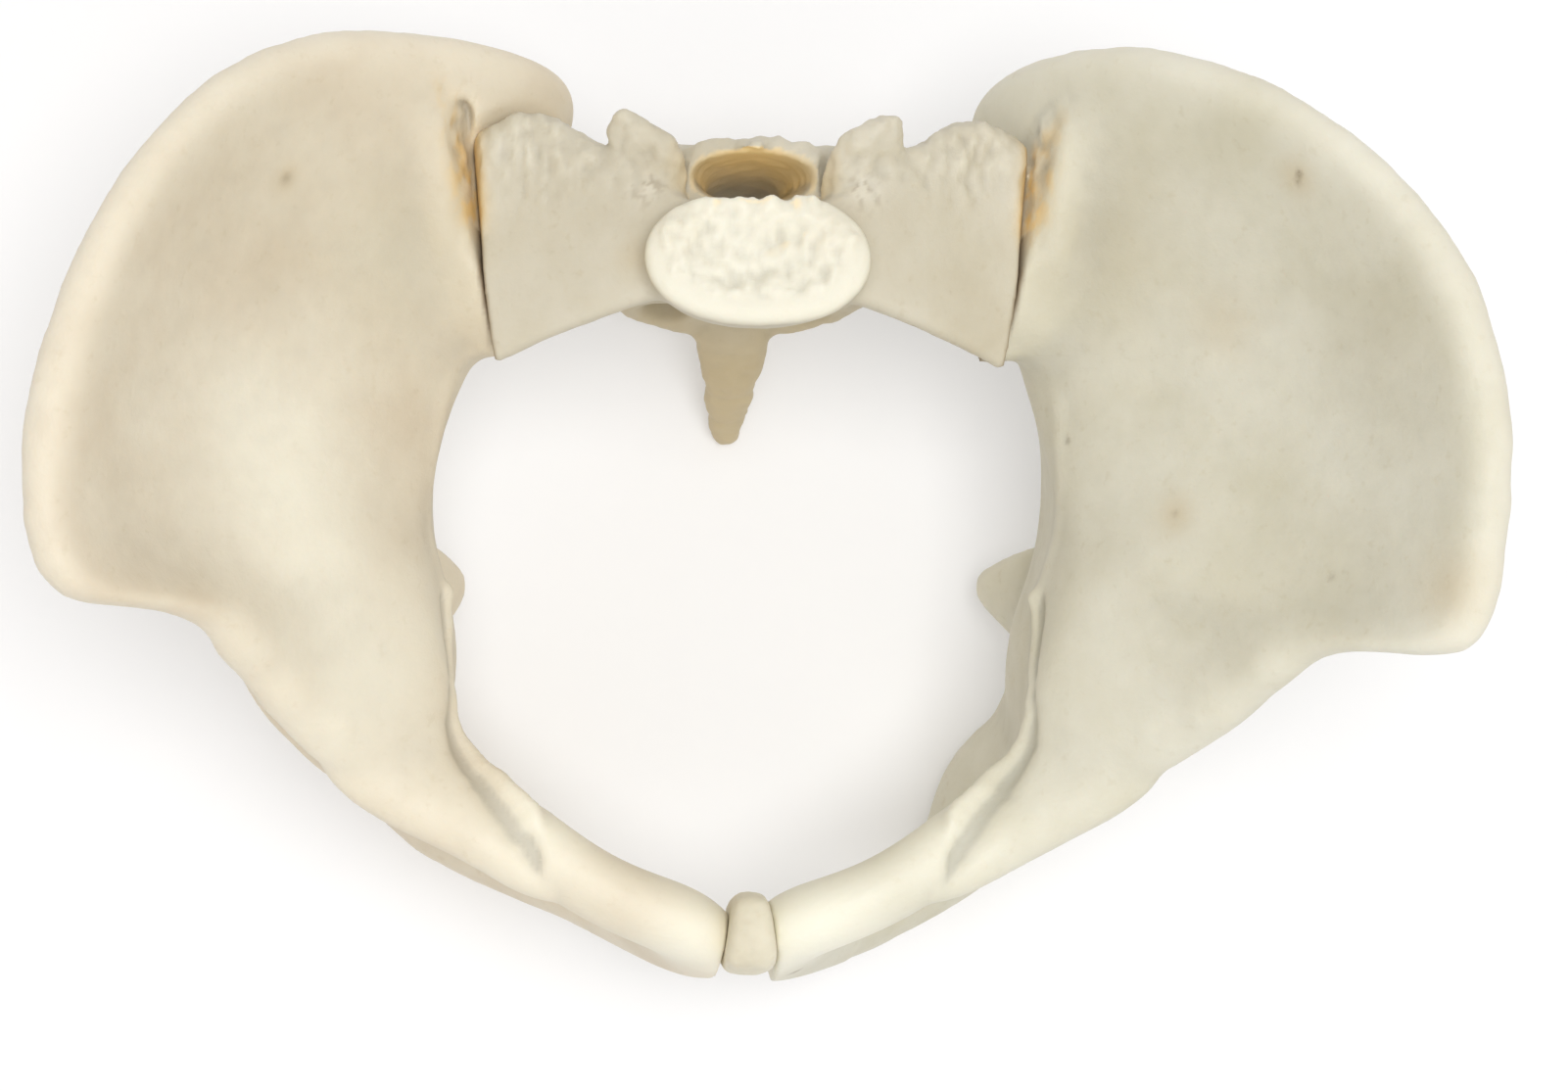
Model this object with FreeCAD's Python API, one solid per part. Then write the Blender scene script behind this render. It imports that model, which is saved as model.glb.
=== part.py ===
"""Life-size skeleton model of a female pelvis.

Two hip bones, the sacrum with its tail bone and the disc between the pubic bones. Each of them is
a moulding of its own, and dowels hidden in the joints hold them together.

Landmarks are written in the frame of a standing body, in millimetres: X to the side, Y to the
back, Z up, with the origin at the upper back edge of the pubic joint. The finished pelvis is
leaned back until it sits on both seat bones and the tip of the tail bone, and is then placed with
the middle of its footprint at the origin.

Most forms are smooth skins: closed B-spline surfaces over a cage of rings, which is worked out
from the landmarks. Sockets, bores, foramina and joint faces are cut into them.
"""

import FreeCAD
import Part

import os
from math import cos, pi, radians, sin, sqrt

Vector = FreeCAD.Vector

# Pose of the finished model
lean_back_deg = 38.0        # from the standing body to the model at rest on a table

# Hip bone: the hub lies on the brim above the hip socket, and the bone fans out from it
hub = (72.5, 51.5, 43.0)
hub_facing = (0.85, 0.12, -0.5)
hub_half_thickness = 8.5
hub_roundness = 1.6         # how flat the bone is at the hub, from 1 for a pointed cone

# Hip socket
socket_centre = (82.5, 45.0, 2.5)
socket_radius = 21.0
socket_wall = 4.0
socket_axis = (0.66, -0.34, -0.66)
socket_rim_rise = 4.0       # how far the rim stands in front of the centre
socket_pit_radius = 11.0    # the rough pit in the floor of the socket
socket_pit_depth = 1.5
socket_notch_radius = 5.5   # half width of the gap in the lower part of the rim
socket_notch_depth = 3.0

# Pubic joint: the disc is a wedge, wider in front
disc_centre = (1.6, 1.0, -13.5)     # a little off the middle plane, as the casting has it
disc_slant_deg = 34.0       # its long axis against the upright
disc_half_width_back = 3.3
disc_half_width_front = 5.4
disc_depth = 14.0
disc_height = 34.0

# Joint between hip bone and sacrum: the plane x = out + back * y + up * z
side_joint_out = 36.1
side_joint_back = -0.05
side_joint_up = 0.2535
side_joint_front = 40.0     # a place in front of both bones
side_joint_rear = 112.0     # how far back the joint reaches
side_joint_low = -20.0      # a level below the tail bone
side_joint_high = 160.0     # a level above both bones
rear_narrowing = 24.0       # how much narrower the sacrum's space is behind the joint
rear_narrowing_depth = 22.0
rear_reach = 180.0          # a place behind both bones
seam_middle = (0.0, 91.0, 87.0)         # middle of the joint's upper edge, and its direction
seam_direction = (0.0, 27.0, 29.0)

# Sacrum
endplate_centre = (0.0, 76.0, 103.6)
endplate_half_width = 22.0
endplate_half_depth = 13.5
endplate_rim = 4.5
endplate_hollow = 1.6
canal_half_width = 15.0
canal_half_depth = 6.5
canal_mouth_lift = 22.0     # how far the canal's cutter reaches out of its mouth
foramen_radius = 3.6
foramen_mouth_radius = 6.5

# Gaps and dowels
joint_gap = 0.3
dowel_radius = 3.0
dowel_length = 20.0
dowel_clearance = 0.1
dowel_places = ((96.5, 79.0), (108.0, 82.0))   # y, z in the joint face


# Skins

def knots(count, closed):
    """Uniform cubic knots and how often each is repeated."""
    if closed:
        return list(range(count + 1)), [1] * (count + 1)
    return list(range(count - 2)), [4] + [1] * (count - 4) + [4]


def skin(rings, closed=False, patches=1):
    """A solid inside a smooth skin over rings of cage points. The first and last ring shrink to
    a point, unless the rings close on themselves like those of a tyre. A large skin is made of
    patches both ways."""
    if not closed:
        rings = [[middle(rings[0])] * len(rings[0])] + rings + [[middle(rings[-1])] * len(rings[-1])]
    along, along_repeats = knots(len(rings), closed)
    around, around_repeats = knots(len(rings[0]), True)
    surface = Part.BSplineSurface()
    surface.buildFromPolesMultsKnots(
        rings, along_repeats, around_repeats, along, around, closed, True, 3, 3
    )
    if patches == 1:
        solid = Part.Solid(Part.Shell([surface.toShape()]))
    else:
        long_step, round_step = along[-1] / patches, around[-1] / patches
        pieces = Part.makeCompound([
            surface.toShape(i * long_step, (i + 1) * long_step, j * round_step, (j + 1) * round_step)
            for i in range(patches) for j in range(patches)
        ])
        pieces.sewShape()
        solid = Part.Solid(pieces.Shells[0])
    if solid.Volume < 0:
        solid.reverse()
    return solid


def middle(points):
    total = Vector(0, 0, 0)
    for point in points:
        total = total + point
    return total * (1.0 / len(points))


def oval(centre, wide, thick, across, through, count=12, square=1.0):
    """A ring of cage points round an oval, swollen so that the smooth skin has the true size.
    A square of more than 1 fills its corners."""
    swell = 3.0 / (2.0 + cos(2 * pi / count))
    ring = []
    for step in range(count):
        angle = 2 * pi * (step + 0.5) / count
        c, s = cos(angle), sin(angle)
        bulge = swell / (abs(c) ** (2 * square) + abs(s) ** (2 * square)) ** (0.5 / square)
        ring.append(centre + across * (wide * c * bulge) + through * (thick * s * bulge))
    return ring


def lump(points, across, count=8, square=1.0):
    """A rounded lump along a line of points (x, y, z, half width, half thickness)."""
    line = [Vector(*point[:3]) for point in points]
    along = unit(line[-1] - line[0])
    across = unit(across - along * across.dot(along))
    through = along.cross(across)
    rings = [
        oval(centre, wide, thick, across, through, count, square)
        for centre, (_, _, _, wide, thick) in zip(line, points)
    ]
    return skin(rings)


def unit(vector):
    return vector * (1.0 / vector.Length)


def mix(a, b, share):
    return a + (b - a) * share


def fused(solids):
    body = solids[0]
    for solid in solids[1:]:
        body = body.fuse(solid)
    return body


def mirrored(shape):
    return shape.mirror(Vector(0, 0, 0), Vector(1, 0, 0))


# Hip bone: one row for each landmark round the edge of the upper part, from the front spine
# over the crest to the back, down to the seat bone and round under the socket.
# x, y, z, half thickness at the edge, half thickness half way out, sideways bow of the wing
hip_edge = {
    "front_spine": (130, -8, 87, 5.0, 3.4, 5),
    "crest_front": (133.5, 6, 99, 4.8, 3.0, 6),
    "crest_tubercle": (136, 31, 119, 6.2, 2.8, 7),
    "crest_side": (125, 62, 132, 4.8, 2.6, 7),
    "crest_top": (106, 84, 135, 4.6, 2.6, 6),
    "crest_back": (89, 103, 130, 5.2, 3.4, 4),
    "crest_rear": (71, 119, 120, 6.4, 5.5, 1),
    "crest_end": (58, 129, 106, 7.5, 8.0, 0),
    "back_spine": (50, 138, 89, 7.5, 9.5, 0),
    "back_spine_low": (50, 139, 76, 6.5, 9.5, 0),
    "back_spine_under": (54, 132, 65, 6.5, 9.0, 0),
    "notch_roof": (60, 118, 56, 6.5, 8.5, 0),
    "notch_corner": (66, 105, 42, 6.5, 7.0, 0),
    "notch_front": (71, 97, 23, 6.5, 6.5, 0),
    "seat_spine_root": (72, 89, 2, 6.0, 6.5, 0),
    "lesser_notch": (68, 79, -19, 7.5, 8.0, 0),
    "seat_neck": (68, 65, -33, 9.0, 9.0, 0),
    "foramen_back": (71, 47, -24, 9.0, 9.0, 0),
    "foramen_top": (66, 33, -9, 8.5, 8.5, 0),
    "pubic_root": (60, 23, 7, 7.0, 7.5, 0),
    "eminence": (71, 16, 11, 6.5, 7.5, 0),
    "front_wall": (85, 15, 25, 6.0, 7.5, 0),
    "front_spine_low": (97, 13, 46, 5.5, 6.0, 2),
    "front_notch": (106, 13, 64, 3.8, 4.5, 4),
    "front_spine_under": (117, 1, 78.5, 4.4, 3.8, 5),
}

# The right hip bone differs a little from the left one: shift of x, y, z
right_shift = {
    "front_spine": (-2, 7, 5),
    "crest_front": (-0.5, 4, 2),
    "crest_tubercle": (-4, -2, -2),
    "crest_side": (-3, -4, -1),
    "crest_top": (0, 1, 1.5),
    "crest_back": (0, 1.5, 1.5),
    "crest_end": (-8, 0, 0),
    "back_spine": (-14, -1, 2),
    "back_spine_low": (-10, 0, 0),
    "front_spine_low": (-1, 3, 2),
    "front_notch": (-3, 1, 6),
    "front_spine_under": (-1, 4, 5.5),
    "lesser_notch": (2.5, -1, 0),
    "seat_neck": (1, 0, 0),
    "seat_body": (2, 0, 0),
    "seat_body_low": (4, 0, 0),
    "seat_tuberosity": (4, 0, 0),
    "seat_toe": (1, 2, 3),
    "seat_branch": (1, 3, 4),
    "lower_branch": (0, 3, 3),
    "spine_middle": (1, -1, 0),
    "spine_end": (2, -1.5, 0),
    "spine_tip": (3, -2.5, 0.5),
    "column_low": (3, 0, 0),
    "column_foot": (4, 0, 0),
    "column_end": (4, 0, 0),
    "low_knob": (-2, 6, 0),
    "low_knob_tip": (-2, 6, 0),
}

# Rings of the fan between hub and edge: share of the way out, share of the bow
fan_rings = [(0.14, 0.0), (0.28, 0.2), (0.46, 0.9), (0.64, 1.0), (0.82, 0.5)]

# Ring of bone round the obturator foramen: x, y, z, half width, half thickness
foramen_centre = (45.0, 27.0, -23.0)
foramen_ring = {
    "pubic_body_top": (9, -2, -6, 15.0, 7.5),
    "pubic_tubercle": (27, 0, 0, 8.5, 6.8),
    "upper_branch": (44, 10, 7, 7.0, 7.0),
    "upper_branch_root": (58, 22, 8, 8.0, 8.0),
    "socket_foot": (67, 34, -5.5, 12.0, 9.0),
    "seat_body": (70.5, 48, -18, 13.5, 11.0),
    "seat_body_low": (65.5, 61.5, -32, 14.5, 12.5),
    "seat_tuberosity": (58, 61, -49, 14.0, 13.0),
    "seat_toe": (51, 50, -57, 11.0, 9.0),
    "seat_branch": (39, 36, -54, 7.5, 4.8),
    "lower_branch": (26, 22, -45, 7.5, 4.4),
    "pubic_body_low": (10, 10, -31, 13.5, 7.0),
}

# Lumps that round off the hip bone, each along a line: x, y, z, half width, half thickness
seat_spine_line = {
    "spine_root": (71, 80, -5, 15, 6.5),
    "spine_neck": (66, 83, -8, 13, 5.5),
    "spine_middle": (60, 88, -11.5, 9, 3.8),
    "spine_end": (56, 92, -14.5, 5.2, 2.6),
    "spine_tip": (53.8, 94.2, -16, 3.4, 1.8),
}
socket_roof_line = {
    "roof_top": (82, 56, 62, 7, 3),
    "roof_high": (82.5, 54, 52, 12, 5.5),
    "roof_middle": (83.5, 51.5, 40, 16, 8),
    "roof_low": (85, 49, 27, 19.5, 10.5),
    "roof_foot": (85.5, 47, 14, 21, 12),
    "roof_root": (82, 47, 0, 19, 11),
}
back_column_line = {
    "column_top": (77, 64, 20, 11, 7),
    "column_high": (77, 65, 6, 15, 9.5),
    "column_middle": (75.5, 64, -8, 16, 11.5),
    "column_low": (70.5, 63.5, -21, 15.5, 12.5),
    "column_foot": (64.5, 62, -37, 11, 10.5),
    "column_end": (61, 61, -46, 7, 7.5),
}
ramus_line = {
    "ramus_hidden": (77.5, 33, 24.5, 13, 5.5),
    "ramus_root": (74, 29.5, 19, 18, 8),
    "ramus_wide": (66.5, 23, 12.5, 14.5, 7.6),
    "ramus_middle": (58.5, 16.2, 9.4, 11, 7),
    "ramus_narrow": (49, 9.4, 6.8, 8, 6.4),
    "ramus_end": (40.5, 4, 3.4, 6.8, 6),
    "ramus_tip": (33, 0.5, 1, 4.5, 4.5),
}
low_knob_line = {
    "low_knob_root": (84, 37, 24, 15, 8),
    "low_knob_neck": (89.5, 30, 34.5, 13, 6.5),
    "low_knob": (96, 23, 44.5, 9.5, 6),
    "low_knob_tip": (100.8, 19.2, 49.6, 5.5, 4.6),
}
joint_lip_line = {
    "lip_low": (59.5, 92, 82.5, 3, 3),
    "lip_middle": (60.5, 99, 91, 4.2, 4),
    "lip_high": (62, 106.5, 99.5, 5, 4.4),
    "lip_end": (64, 114, 107, 4, 4),
}
joint_boss_line = [
    (71, 7, 7, 8), (67.5, 5.2, 9.5, 13), (63, 3.2, 12, 17), (57, 1.3, 14, 19.5), (50, 0.8, 14.5, 20.5),
    (44, 0.5, 14.5, 20.5), (38, 0.5, 14.5, 20.5),
]

# Crevice at the upper end of the side joint, where the two bones stand apart
crevice_line = [
    (52.9, 90, 84, 0.5, 1.5), (54.1, 96, 90, 1.2, 3.5), (55.3, 102, 96, 2.1, 6), (56.6, 108, 102, 3.0, 8),
    (57.6, 114, 107, 3.6, 9),
]


def fan(edge):
    """The wing, the wall over the greater notch and the wall behind the socket, as one fan."""
    centre, facing = Vector(*hub), unit(Vector(*hub_facing))
    rows = list(edge.values())
    count = len(rows)
    spokes = [Vector(*row[:3]) - centre for row in rows]
    sectors = [spokes[index].cross(spokes[index - 1]) for index in range(count)]
    height = [spoke.dot(facing) for spoke in spokes]
    flat = [spoke - facing * rise for spoke, rise in zip(spokes, height)]

    def eased(points, passes):
        """Round off the ring, so that no spoke shows as a crease near the hub."""
        for _ in range(passes):
            points = [
                (points[index - 1] + points[index] * 2 + points[(index + 1) % count]) * 0.25
                for index in range(count)
            ]
        return points

    def levelled(index, width):
        """Mean direction of the sectors round a spoke."""
        total = Vector(0, 0, 0)
        for step in range(1 - width, 1 + width):
            total = total + sectors[(index + step) % count]
        return unit(total)

    def outward(index, share):
        """Direction to the outer side of the bone, more and more levelled towards the hub."""
        own = mix(levelled(index, 5), levelled(index, 2), max(0.0, 2 * share - 1))
        return unit(mix(facing, unit(own), min(1.0, share / 0.5)))

    def ring(share, bow_share, side, kind):
        points = []
        for index, (_, _, _, at_edge, half_way, bow) in enumerate(rows):
            reach = spokes[index].Length
            if kind == "field":
                out = share
                if share < 0.5:
                    half = hub_half_thickness + (half_way - hub_half_thickness) * share / 0.5
                else:
                    half = half_way + (at_edge - half_way) * ((share - 0.5) / 0.5) ** 2
            elif kind == "shoulder":
                half, out = at_edge, 1.0 - at_edge / reach
            elif kind == "round":
                half, out = 0.75 * at_edge, 1.0 - 0.12 * at_edge / reach
            else:
                half, out = 0.0, 1.0 + 0.22 * at_edge / reach
            normal = outward(index, out)
            point = centre + flat[index] * out + facing * (height[index] * out ** hub_roundness)
            points.append(point + normal * (side * half + bow * bow_share))
        return eased(points, max(0, round(12 * (0.5 - share))))

    inner = [ring(share, bow_share, -1, "field") for share, bow_share in fan_rings]
    outer = [ring(share, bow_share, 1, "field") for share, bow_share in reversed(fan_rings)]
    inner += [ring(1.0, 0.0, -1, "shoulder"), ring(1.0, 0.0, -1, "round")]
    outer = [ring(1.0, 0.0, 1, "round"), ring(1.0, 0.0, 1, "shoulder")] + outer
    return skin(inner + [ring(1.0, 0.0, 0, "edge")] + outer, patches=2)


def branches(stations):
    """The pubic body, both its branches and the seat bone, as one ring round the foramen."""
    middle_of_hole = Vector(*foramen_centre)
    count = len(stations)
    rings = []
    for index, (x, y, z, wide, thick) in enumerate(stations):
        here = Vector(x, y, z)
        before = Vector(*stations[index - 1][:3])
        after = Vector(*stations[(index + 1) % count][:3])
        along = unit(after - before)
        out = here - middle_of_hole
        out = unit(out - along * out.dot(along))
        rings.append(oval(here, wide, thick, out, along.cross(out)))
    return skin(rings, closed=True)


def hip_lumps(placed):
    """The lumps that round off the hip bone: the spine between the two notches, the bone over the
    socket and behind it, the root of the upper pubic branch, the knob under the front notch and
    the rough lip beside the side joint."""
    lines = (
        (seat_spine_line, Vector(0.2, 0.3, 0.9)),
        (socket_roof_line, Vector(0, 1, 0)),
        (back_column_line, Vector(0, 1, 0)),
        (ramus_line, Vector(0.536, -0.838, 0.093)),
        (low_knob_line, Vector(0, 1, 0)),
        (joint_lip_line, Vector(1, 0, 0)),
    )
    return [lump(list(placed(line).values()), across) for line, across in lines]


def side_joint_boss():
    """The swelling of the hip bone that carries its joint face to the sacrum. Its upper face
    slopes down into the wing.
    Rows: x, depth of the upper face under the seam, half thickness, half width"""
    across = unit(Vector(*seam_direction))
    up = Vector(0, -across.z, across.y)
    rings = []
    for x, drop, thick, wide in joint_boss_line:
        centre = Vector(*seam_middle) - up * (drop + thick) + Vector(x, 0, 0)
        rings.append(oval(centre, wide, thick, across, up, 12, 1.3))
    return skin(rings)


def crevice():
    """The wedge cut from both bones at the upper end of the left side joint."""
    return lump(crevice_line, Vector(1, 0, 0))


def socket_cup():
    """The bowl of bone round the hip socket."""
    centre, axis = Vector(*socket_centre), unit(Vector(*socket_axis))
    across = unit(axis.cross(Vector(0, 0, 1)))
    through = axis.cross(across)
    radius = socket_radius + socket_wall
    rings = []
    for rise, grow in ((-0.75, 0.45), (-0.7, 0.7), (-0.45, 0.92), (-0.15, 1.0)):
        rings.append(oval(centre + axis * (radius * rise), radius * grow, radius * grow, across, through, 16))
    for drop, inset in ((2.0, 0.0), (0.0, 0.8), (0.0, 2 * socket_wall)):
        rim = centre + axis * (socket_rim_rise - drop)
        rings.append(oval(rim, radius - inset, radius - inset, across, through, 16))
    return skin(rings)


def socket_hollow():
    """What is cut from the cup: the ball, the pit in its floor and the gap in the rim. It is made
    upright and then turned to the axis of the socket, with the gap towards the foramen."""
    ball = Part.makeSphere(socket_radius)
    down = Vector(0, 0, -1)
    pit = Part.makeCylinder(socket_pit_radius, socket_radius + socket_pit_depth, Vector(0, 0, 0), down)
    mouth = Part.makeCylinder(socket_radius, socket_radius)
    reach = socket_radius + 2 * socket_wall
    floor = socket_notch_radius - socket_notch_depth
    notch = Part.makeCylinder(socket_notch_radius, reach, Vector(0, 0, floor), Vector(-1, 0, 0))
    slot = Part.makeBox(reach, 2 * socket_notch_radius, reach, Vector(-reach, -socket_notch_radius, floor))
    hollow = fused([ball, pit, mouth, notch, slot])
    centre, axis = Vector(*socket_centre), unit(Vector(*socket_axis))
    away = centre - Vector(*foramen_centre)
    turn = FreeCAD.Rotation(away, Vector(0, 0, 0), axis, "ZXY")
    hollow.Placement = FreeCAD.Placement(centre, turn)
    return hollow


def hip_bone(shift):
    """A left hip bone, with some of its landmarks shifted."""
    def placed(table):
        rows = {}
        for name, (x, y, z, *rest) in table.items():
            dx, dy, dz = shift.get(name, (0, 0, 0))
            rows[name] = (x + dx, y + dy, z + dz, *rest)
        return rows
    ring = list(placed(foramen_ring).values())
    body = fused([fan(placed(hip_edge)), branches(ring), side_joint_boss(), socket_cup(), *hip_lumps(placed)])
    return body.cut(socket_hollow()).cut(crevice())


# Sacrum: level by level down the middle of its front face.
# y, z, angle of its plane, half width, set-back of the side, depth of the side, depth in the middle
sacrum_levels = {
    "first_top": (70, 95, 38, 28, 5, 15, 19),
    "first": (79, 88.5, 40, 42, 7, 17, 26),
    "first_disc": (87, 82.5, 42, 54, 9, 18, 29),
    "second": (96, 74.5, 41, 53, 10, 17, 28.5),
    "second_disc": (103, 66, 40, 48, 9, 15, 27),
    "third": (110, 58.5, 36, 39, 7, 12, 26),
    "third_disc": (115, 50, 30, 34, 4, 10, 23),
    "fourth": (119.5, 44, 24, 31.5, 2, 8, 19),
    "fourth_disc": (122.5, 37.5, 18, 29, 1, 7, 15),
    "fifth": (124.5, 31.5, 12, 20, 0, 6, 11),
    "fifth_end": (125.5, 26, 6, 9, 0, 5, 9),
}

# Wings of the sacrum from the middle to the side: x, then y, z of the brim, y, z of the back edge
# of the upper face, and the depth under it
sacrum_wing = [
    (5, 77, 93, 90, 101, 20),
    (16, 76, 93, 92, 104, 22),
    (25, 75, 89.5, 99, 105.5, 24),
    (34, 74.5, 85, 107, 106.5, 26),
    (44, 75, 77, 113, 107, 28),
    (53, 75.5, 69, 109, 103, 28),
    (61, 77, 67, 103, 99, 26),
]
wing_outline = [
    (0.12, 0.0), (0.5, 0.0), (0.88, 0.0), (1.02, 0.06), (1.02, 0.35), (0.98, 0.8),
    (0.78, 1.03), (0.42, 1.0), (0.2, 0.82), (0.09, 0.5), (0.02, 0.24), (0.0, 0.06),
]

# Lumps of the sacrum, each along a line: x, y, z, half width, half thickness
process_line = [
    (21, 98, 90, 8, 6), (21, 99.5, 97, 8, 5), (21, 101.5, 103, 8, 4.2), (22.3, 103.4, 107.4, 7, 3.2),
    (25, 105, 110.4, 4, 2.4), (27, 106, 112.4, 1.6, 1.4),
]
arch_line = [
    (-20, 101, 95, 6, 5), (-14, 106.5, 96.5, 5, 3.2), (0, 111, 95.5, 5, 2.8), (14, 106.5, 96.5, 5, 3.2),
    (20, 101, 95, 6, 5),
]
tail_line = [
    (0, 124.5, 33, 8.5, 4.5), (0, 124.7, 25, 8.2, 4.5), (0, 124.8, 16, 5.8, 4), (0, 125.5, 9, 5.6, 3.8),
    (0, 127.3, -1, 4.0, 3.4), (0, 128.8, -9, 3.0, 3.0),
]


def sacrum_plane(y, z, angle):
    """Front middle point of a level, and its directions to the side and to the back."""
    return Vector(0, y, z), Vector(1, 0, 0), Vector(0, cos(radians(angle)), sin(radians(angle)))


def sacrum_body():
    rings = []
    for y, z, angle, half_width, set_back, side_depth, depth in list(sacrum_levels.values())[2:]:
        front, side, back = sacrum_plane(y, z, angle)
        outline = [
            (0.36, 0.0), (0.72, 0.45 * set_back), (1.02, set_back), (1.02, set_back + side_depth),
            (0.62, 0.5 * (set_back + side_depth + depth)), (0.25, depth),
        ]
        right = [front + side * (half_width * x) + back * d for x, d in outline]
        left = [front - side * (half_width * x) + back * d for x, d in reversed(outline)]
        rings.append(right + left)
    return skin(rings)


def sacrum_wings():
    """Both wings of the first segment, as one bar from side to side."""
    half = []
    for x, brim_y, brim_z, back_y, back_z, depth in sacrum_wing:
        brim, back_edge = Vector(x, brim_y, brim_z), Vector(x, back_y, back_z)
        across = back_edge - brim
        down = unit(Vector(0, across.z, -across.y)) * depth
        half.append([brim + across * u + down * v for u, v in wing_outline])
    other = [[Vector(-p.x, p.y, p.z) for p in ring] for ring in reversed(half)]
    return skin(other + half)


def endplate_frame():
    return Vector(*endplate_centre), Vector(1, 0, 0), Vector(0, 0.866, 0.5), Vector(0, -0.5, 0.866)


def first_body():
    """The body of the first segment under its rough end plate."""
    centre, side, back, up = endplate_frame()
    rings = []
    for drop, grow in ((0, 0.5), (0, 0.95), (2.5, 1.0), (10, 0.93), (18, 0.92), (24, 0.8)):
        middle_point = centre - up * drop + back * (0.12 * drop)
        rings.append(oval(middle_point, endplate_half_width * grow, endplate_half_depth * grow, side, back, 16, 1.15))
    return skin(rings)


def endplate_hollow_cut():
    centre, side, back, up = endplate_frame()
    wide, deep = endplate_half_width - endplate_rim, endplate_half_depth - endplate_rim
    rings = [
        oval(centre + up * (rise - endplate_hollow), wide * grow, deep * grow, side, back, 12, 1.1)
        for rise, grow in ((0, 0.6), (0.4, 0.85), (2, 1.0), (5, 1.2))
    ]
    return skin(rings)


def canal():
    rings = []
    for name, depth, share in (
        ("first_top", 29, 1.3), ("first_top", 27, 1.1), ("first", 23.5, 0.95), ("first_disc", 22, 0.8),
        ("second", 21, 0.72), ("second_disc", 20.5, 0.62), ("third", 19.5, 0.55), ("third_disc", 18, 0.5),
        ("fourth", 16, 0.5), ("fourth_disc", 13.5, 0.5), ("fifth", 13, 0.5),
    ):
        y, z, angle = sacrum_levels[name][:3]
        front, side, back = sacrum_plane(y, z, angle)
        lift = Vector(0, -0.5, 0.866) * (canal_mouth_lift if share == 1.3 else 0)
        rings.append(oval(front + back * depth + lift, canal_half_width * share, canal_half_depth * share, side, back))
    return skin(rings)


def foramina():
    holes = []
    for name, x in (("first_disc", 19.5), ("second_disc", 17.5), ("third_disc", 16), ("fourth_disc", 14.5)):
        y, z, angle = sacrum_levels[name][:3]
        front, side, back = sacrum_plane(y, z, angle)
        for hand in (-1, 1):
            way = unit(back - side * (hand * 0.12))
            start = front + side * (hand * x) - way * 6
            holes.append(Part.makeCylinder(foramen_radius, 60, start, way))
            holes.append(Part.makeCone(foramen_mouth_radius, foramen_radius, 14, start, way))
    return holes


def joint_processes():
    """The pair of plates that rise behind the end plate, each to a sharp outer corner."""
    one = lump(process_line, Vector(1, 0.35, 0), 12, 1.7)
    return [one, mirrored(one)]


def rear_crest():
    """The row of blunt spines down the middle of the back."""
    spines = []
    for name, depth, half_long in (("first_disc", 26.5, 7), ("second_disc", 26, 6), ("third_disc", 22, 5)):
        y, z, angle = sacrum_levels[name][:3]
        front, side, back = sacrum_plane(y, z, angle)
        along = back.cross(side)
        rings = [
            oval(front + back * (depth + rise), half_long * grow, 4.2 * grow, along, side, 8)
            for rise, grow in ((-5, 1.0), (-1, 0.9), (2, 0.6), (3.5, 0.3))
        ]
        spines.append(skin(rings))
    return spines


def tail():
    return lump(tail_line, Vector(1, 0, 0), 10)


def side_joint_block(gap):
    """The space between the two side joint faces, less a gap on every face. Behind the joint it
    narrows, so that the hip bone reaches round the sacrum with room to spare."""
    def level(z):
        half = []
        for y, inset in (
            (side_joint_front, 0), (side_joint_rear, 0), (side_joint_rear + rear_narrowing_depth, rear_narrowing),
            (rear_reach, rear_narrowing),
        ):
            x = side_joint_out + side_joint_back * y + side_joint_up * z - inset
            half.append(Vector(x - gap * sqrt(1 + side_joint_up ** 2), y, z))
        other = [Vector(-point.x, point.y, point.z) for point in reversed(half)]
        return half + other
    low, high = level(side_joint_low), level(side_joint_high)
    loops = [low, high]
    for index in range(len(low)):
        after = (index + 1) % len(low)
        loops.append([low[index], low[after], high[after], high[index]])
    solid = Part.Solid(Part.Shell([Part.Face(Part.makePolygon(loop + [loop[0]])) for loop in loops]))
    if solid.Volume < 0:
        solid.reverse()
    return solid


def side_joint_dowels(radius, length, hand):
    """Two dowels across a side joint, square to its face."""
    out = unit(Vector(1, -side_joint_back, -side_joint_up))
    dowels = []
    for y, z in dowel_places:
        middle_point = Vector(side_joint_out + side_joint_back * y + side_joint_up * z, y, z)
        dowel = Part.makeCylinder(radius, length, middle_point - out * (length / 2), out)
        dowels.append(dowel if hand > 0 else mirrored(dowel))
    return dowels


def sacrum():
    body = fused([sacrum_body(), sacrum_wings(), first_body(), arch(), *joint_processes(), *rear_crest(), tail()])
    for tool in [canal(), endplate_hollow_cut(), crevice(), mirrored(crevice()), *foramina()]:
        body = body.cut(tool)
    return body


def arch():
    """The bony arch that closes the canal behind its upper mouth."""
    return lump(arch_line, Vector(0, 0.5, 0.86))


def disc_faces(gap):
    """The wedge between the two pubic joint faces, wider in front, less a gap on each face."""
    slope = (disc_half_width_front - disc_half_width_back) / disc_depth
    reach = 2 * disc_depth
    loop = []
    for hand, ends in ((1, (reach, -reach)), (-1, (-reach, reach))):
        for y in ends:
            half = disc_half_width_back + slope * (disc_depth / 2 - y) - gap
            loop.append(Vector(hand * max(half, 0.2), y, -2 * disc_height))
    wedge = Part.Face(Part.makePolygon(loop + [loop[0]])).extrude(Vector(0, 0, 4 * disc_height))
    wedge.Placement = disc_place()
    return wedge


def disc_place():
    return FreeCAD.Placement(Vector(*disc_centre), FreeCAD.Rotation(Vector(1, 0, 0), disc_slant_deg))


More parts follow.
